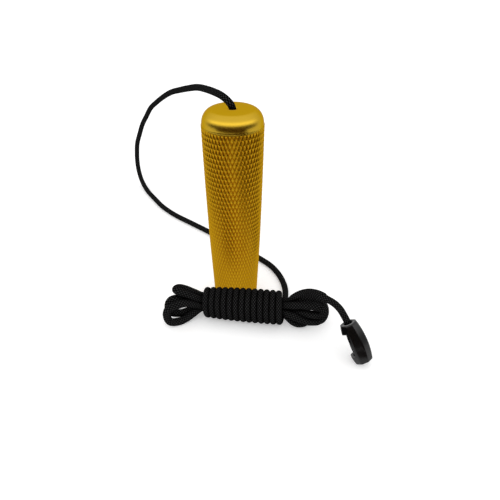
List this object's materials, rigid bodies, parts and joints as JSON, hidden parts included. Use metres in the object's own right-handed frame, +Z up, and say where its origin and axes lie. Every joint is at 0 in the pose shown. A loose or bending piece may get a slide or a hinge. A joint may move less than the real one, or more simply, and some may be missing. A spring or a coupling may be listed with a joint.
{
  "type": "knurled light pull with cord",
  "caption": "Gold anodised aluminium light pull with a fine diamond-knurled grip, on a black braided cord wound into a hank, with a black plastic barrel cord connector on its end.",
  "frame": {"origin": "middle of the handle's base, on the surface that the handle stands on", "axes": "+Z up along the handle's axis to its cord hole, -Y towards the front where the hank lies, +X to the right where the connector stands"},
  "size_m": [0.1113, 0.1498, 0.085],
  "materials": {
    "gold_anodised": "satin anodised gold, fine diamond knurl on the grip",
    "black_braid": "tight round braid with a faint sheen",
    "black_plastic": "moulded, semi-gloss"
  },
  "bodies": {
    "cord": {"stop_knot": "black_braid", "cord_lead": "black_braid", "cord_wrap": "black_braid", "cord_loops": "black_braid", "cord_tail": "black_braid", "connector_knot": "black_braid"},
    "handle": {"handle": "gold_anodised"},
    "connector": {"connector": "black_plastic"}
  },
  "joints": [
    {"name": "handle_swivel", "type": "hinge", "parent": "cord", "child": "handle", "pos_m": [0, 0, 0.08], "axis": [0, 0, 1], "continuous": true},
    {"name": "connector_swivel", "type": "hinge", "parent": "cord", "child": "connector", "pos_m": [0.0408, -0.0356, 0.0145], "axis": [0.4088, -0.3879, -0.8261], "continuous": true}
  ]
}
